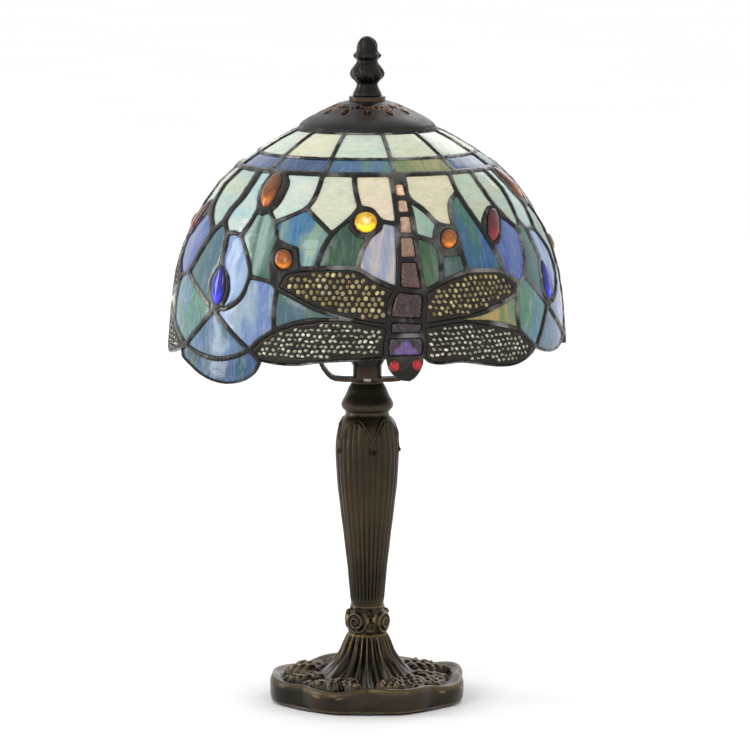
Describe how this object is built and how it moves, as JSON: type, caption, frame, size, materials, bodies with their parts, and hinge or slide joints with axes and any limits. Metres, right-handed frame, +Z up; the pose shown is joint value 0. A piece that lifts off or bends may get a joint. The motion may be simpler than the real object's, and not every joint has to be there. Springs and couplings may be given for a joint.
{
  "type": "stained glass table lamp",
  "caption": "Table lamp with a domed stained glass dragonfly shade on a fluted bronze vase stem and a lobed leaf base; the finial unscrews, the shade and the bulb turn.",
  "frame": {"origin": "centre of the felt's underside, on the table", "axes": "+Z up along the stem; -Y is the front, where the dragonfly of the pictured side is turned 12 degrees towards +X"},
  "size_m": [0.2073, 0.2084, 0.3467],
  "materials": {
    "felt": "matt felt",
    "bronze": "dark bronze patina, semi-gloss",
    "rubber": "matt",
    "steel": "zinc plated",
    "brass": "satin",
    "phenolic": "satin",
    "ceramic": "glazed",
    "bulb_glass": "frosted",
    "bulb_metal": "satin",
    "insulator": "vitrite",
    "filament": "tungsten",
    "lead": "black patina solder",
    "cream_glass": "opalescent",
    "blue_glass": "opalescent streaky",
    "green_glass": "opalescent streaky",
    "petal_glass": "opalescent rippled",
    "rim_glass": "opalescent streaky",
    "amber_glass": "polished",
    "garnet_glass": "polished",
    "sapphire_glass": "polished",
    "tail_glass": "rippled",
    "body_glass": "rippled",
    "red_glass": "polished",
    "wing_glass": "opalescent"
  },
  "bodies": {
    "root": {"base_felt": "felt", "base_casting": "bronze", "cord_grommet": "rubber", "rod_washer": "steel", "rod_nut": "brass", "threaded_rod": "steel", "knot_collar": "bronze", "stem_casting": "bronze", "neck_bell": "bronze", "harp": "bronze", "harp_nut": "brass", "socket_cup": "bronze", "holder_cap": "phenolic", "holder_body": "phenolic", "holder_shell": "brass", "holder_contact": "brass", "terminal_block": "ceramic", "terminal_screws": "steel", "harp_stud": "steel", "stud_lower_nut": "brass", "stud_lock_nut": "brass", "shade_seat": "brass"},
    "bulb": {"bulb_glass": "bulb_glass", "bulb_cap": "bulb_metal", "bulb_insulator": "insulator", "bulb_contact": "steel", "bulb_mount": "bulb_glass", "bulb_filament": "filament"},
    "shade": {"shade_cap": "bronze", "crown_came": "lead", "crown_glass": "cream_glass", "band_glass_blue": "blue_glass", "band_glass_green": "green_glass", "lead_network": "lead", "cream_glass": "cream_glass", "blue_glass": "blue_glass", "green_glass": "green_glass", "petal_glass": "petal_glass", "rim_glass": "rim_glass", "amber_teardrops": "amber_glass", "amber_cabochons": "amber_glass", "garnet_ovals": "garnet_glass", "sapphire_marquises": "sapphire_glass", "tail_glass": "tail_glass", "body_glass": "body_glass", "dragonfly_eyes": "red_glass", "wing_glass": "wing_glass", "wing_filigree": "lead"},
    "finial_washer": {"finial_washer": "bronze"},
    "finial": {"finial": "bronze"}
  },
  "joints": [
    {"name": "finial_lift", "type": "slide", "parent": "root", "child": "finial_washer", "axis": [0, 0, 1], "range_m": [0, 0.006]},
    {"name": "finial_turn", "type": "hinge", "parent": "finial_washer", "child": "finial", "pos_m": [0, 0, 0.32], "axis": [0, 0, 1], "range_deg": [0, 2160]},
    {"name": "shade_turn", "type": "hinge", "parent": "root", "child": "shade", "pos_m": [0, 0, 0.312], "axis": [0, 0, 1], "continuous": true},
    {"name": "bulb_turn", "type": "hinge", "parent": "root", "child": "bulb", "pos_m": [0, 0, 0.2], "axis": [0, 0, 1], "range_deg": [0, 1080]}
  ],
  "couplings": [
    {"joint": "finial_turn", "follows": "finial_lift", "rad_per_m": 6283.2}
  ]
}
